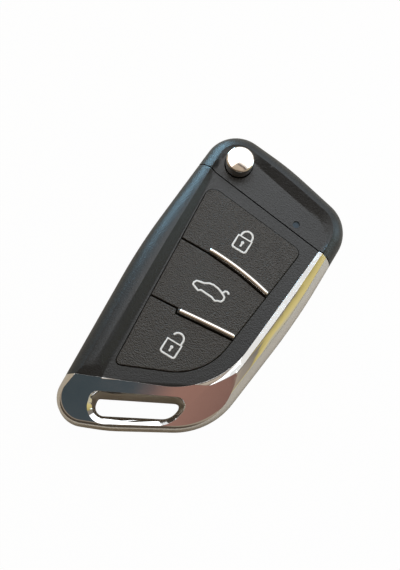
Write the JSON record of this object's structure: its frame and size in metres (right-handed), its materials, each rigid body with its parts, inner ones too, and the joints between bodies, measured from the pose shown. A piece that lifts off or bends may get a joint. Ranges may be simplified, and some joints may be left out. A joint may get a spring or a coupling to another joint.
{
  "type": "car key fob",
  "caption": "Folding remote key fob: black shell with press keys, chrome edge frame with ring loop, release button and swing-out blade.",
  "frame": {"origin": "centre of the bounding box in X and Y, on the flat back face", "axes": "+Y towards the head with the release button, +X towards the side with the chrome frame, +Z out of the front with the keys"},
  "size_m": [0.0411, 0.0812, 0.0173],
  "materials": {
    "shell": "fine leather grain",
    "keycap": "fine grain",
    "plated": "mirror plating",
    "hub": "cast, blasted",
    "blade": "brushed",
    "spring": "drawn wire",
    "stem": "moulded",
    "board": "solder mask",
    "switch": "moulded",
    "plunger": "moulded",
    "chip": "moulded",
    "led": "clear top",
    "lens": "clear moulding",
    "cell": "stainless can",
    "contact": "stamped spring steel",
    "transponder": "moulded",
    "screw": "black zinc"
  },
  "bodies": {
    "case": {"head_front_cover": "shell", "head_rear_cover": "shell", "body_front_cover": "shell", "body_rear_cover": "shell", "chrome_frame": "plated", "circuit_board": "board", "switch_bodies": "switch", "circuit_chips": "chip", "status_led": "led", "led_lens": "lens", "coin_cell": "cell", "battery_clip_positive": "contact", "battery_clip_negative": "contact", "transponder_chip": "transponder", "case_screws": "screw"},
    "blade": {"blade_hub": "hub", "key_blade": "blade", "blade_pin": "spring", "flip_spring": "spring"},
    "release_button": {"release_button_cap": "plated", "release_button_stem": "stem"},
    "lock_button": {"lock_key": "keycap", "lock_key_bar": "plated", "lock_switch_plunger": "plunger"},
    "trunk_button": {"trunk_key": "keycap", "trunk_key_bar": "plated", "trunk_switch_plunger": "plunger"},
    "unlock_button": {"unlock_key": "keycap", "unlock_switch_plunger": "plunger"}
  },
  "joints": [
    {"name": "blade_flip", "type": "hinge", "parent": "case", "child": "blade", "pos_m": [-0.0108, 0.0323, 0.0074], "axis": [0, 0, -1], "range_deg": [0, 180]},
    {"name": "release_press", "type": "slide", "parent": "blade", "child": "release_button", "axis": [0, 0, -1], "range_m": [0, 0.0016], "stiffness_N_per_m": 2500, "deforming": ["flip_spring"]},
    {"name": "lock_press", "type": "slide", "parent": "case", "child": "lock_button", "axis": [0, 0, -1], "range_m": [0, 0.0003], "stiffness_N_per_m": 5000},
    {"name": "trunk_press", "type": "slide", "parent": "case", "child": "trunk_button", "axis": [0, 0, -1], "range_m": [0, 0.0003], "stiffness_N_per_m": 5000},
    {"name": "unlock_press", "type": "slide", "parent": "case", "child": "unlock_button", "axis": [0, 0, -1], "range_m": [0, 0.0003], "stiffness_N_per_m": 5000}
  ]
}
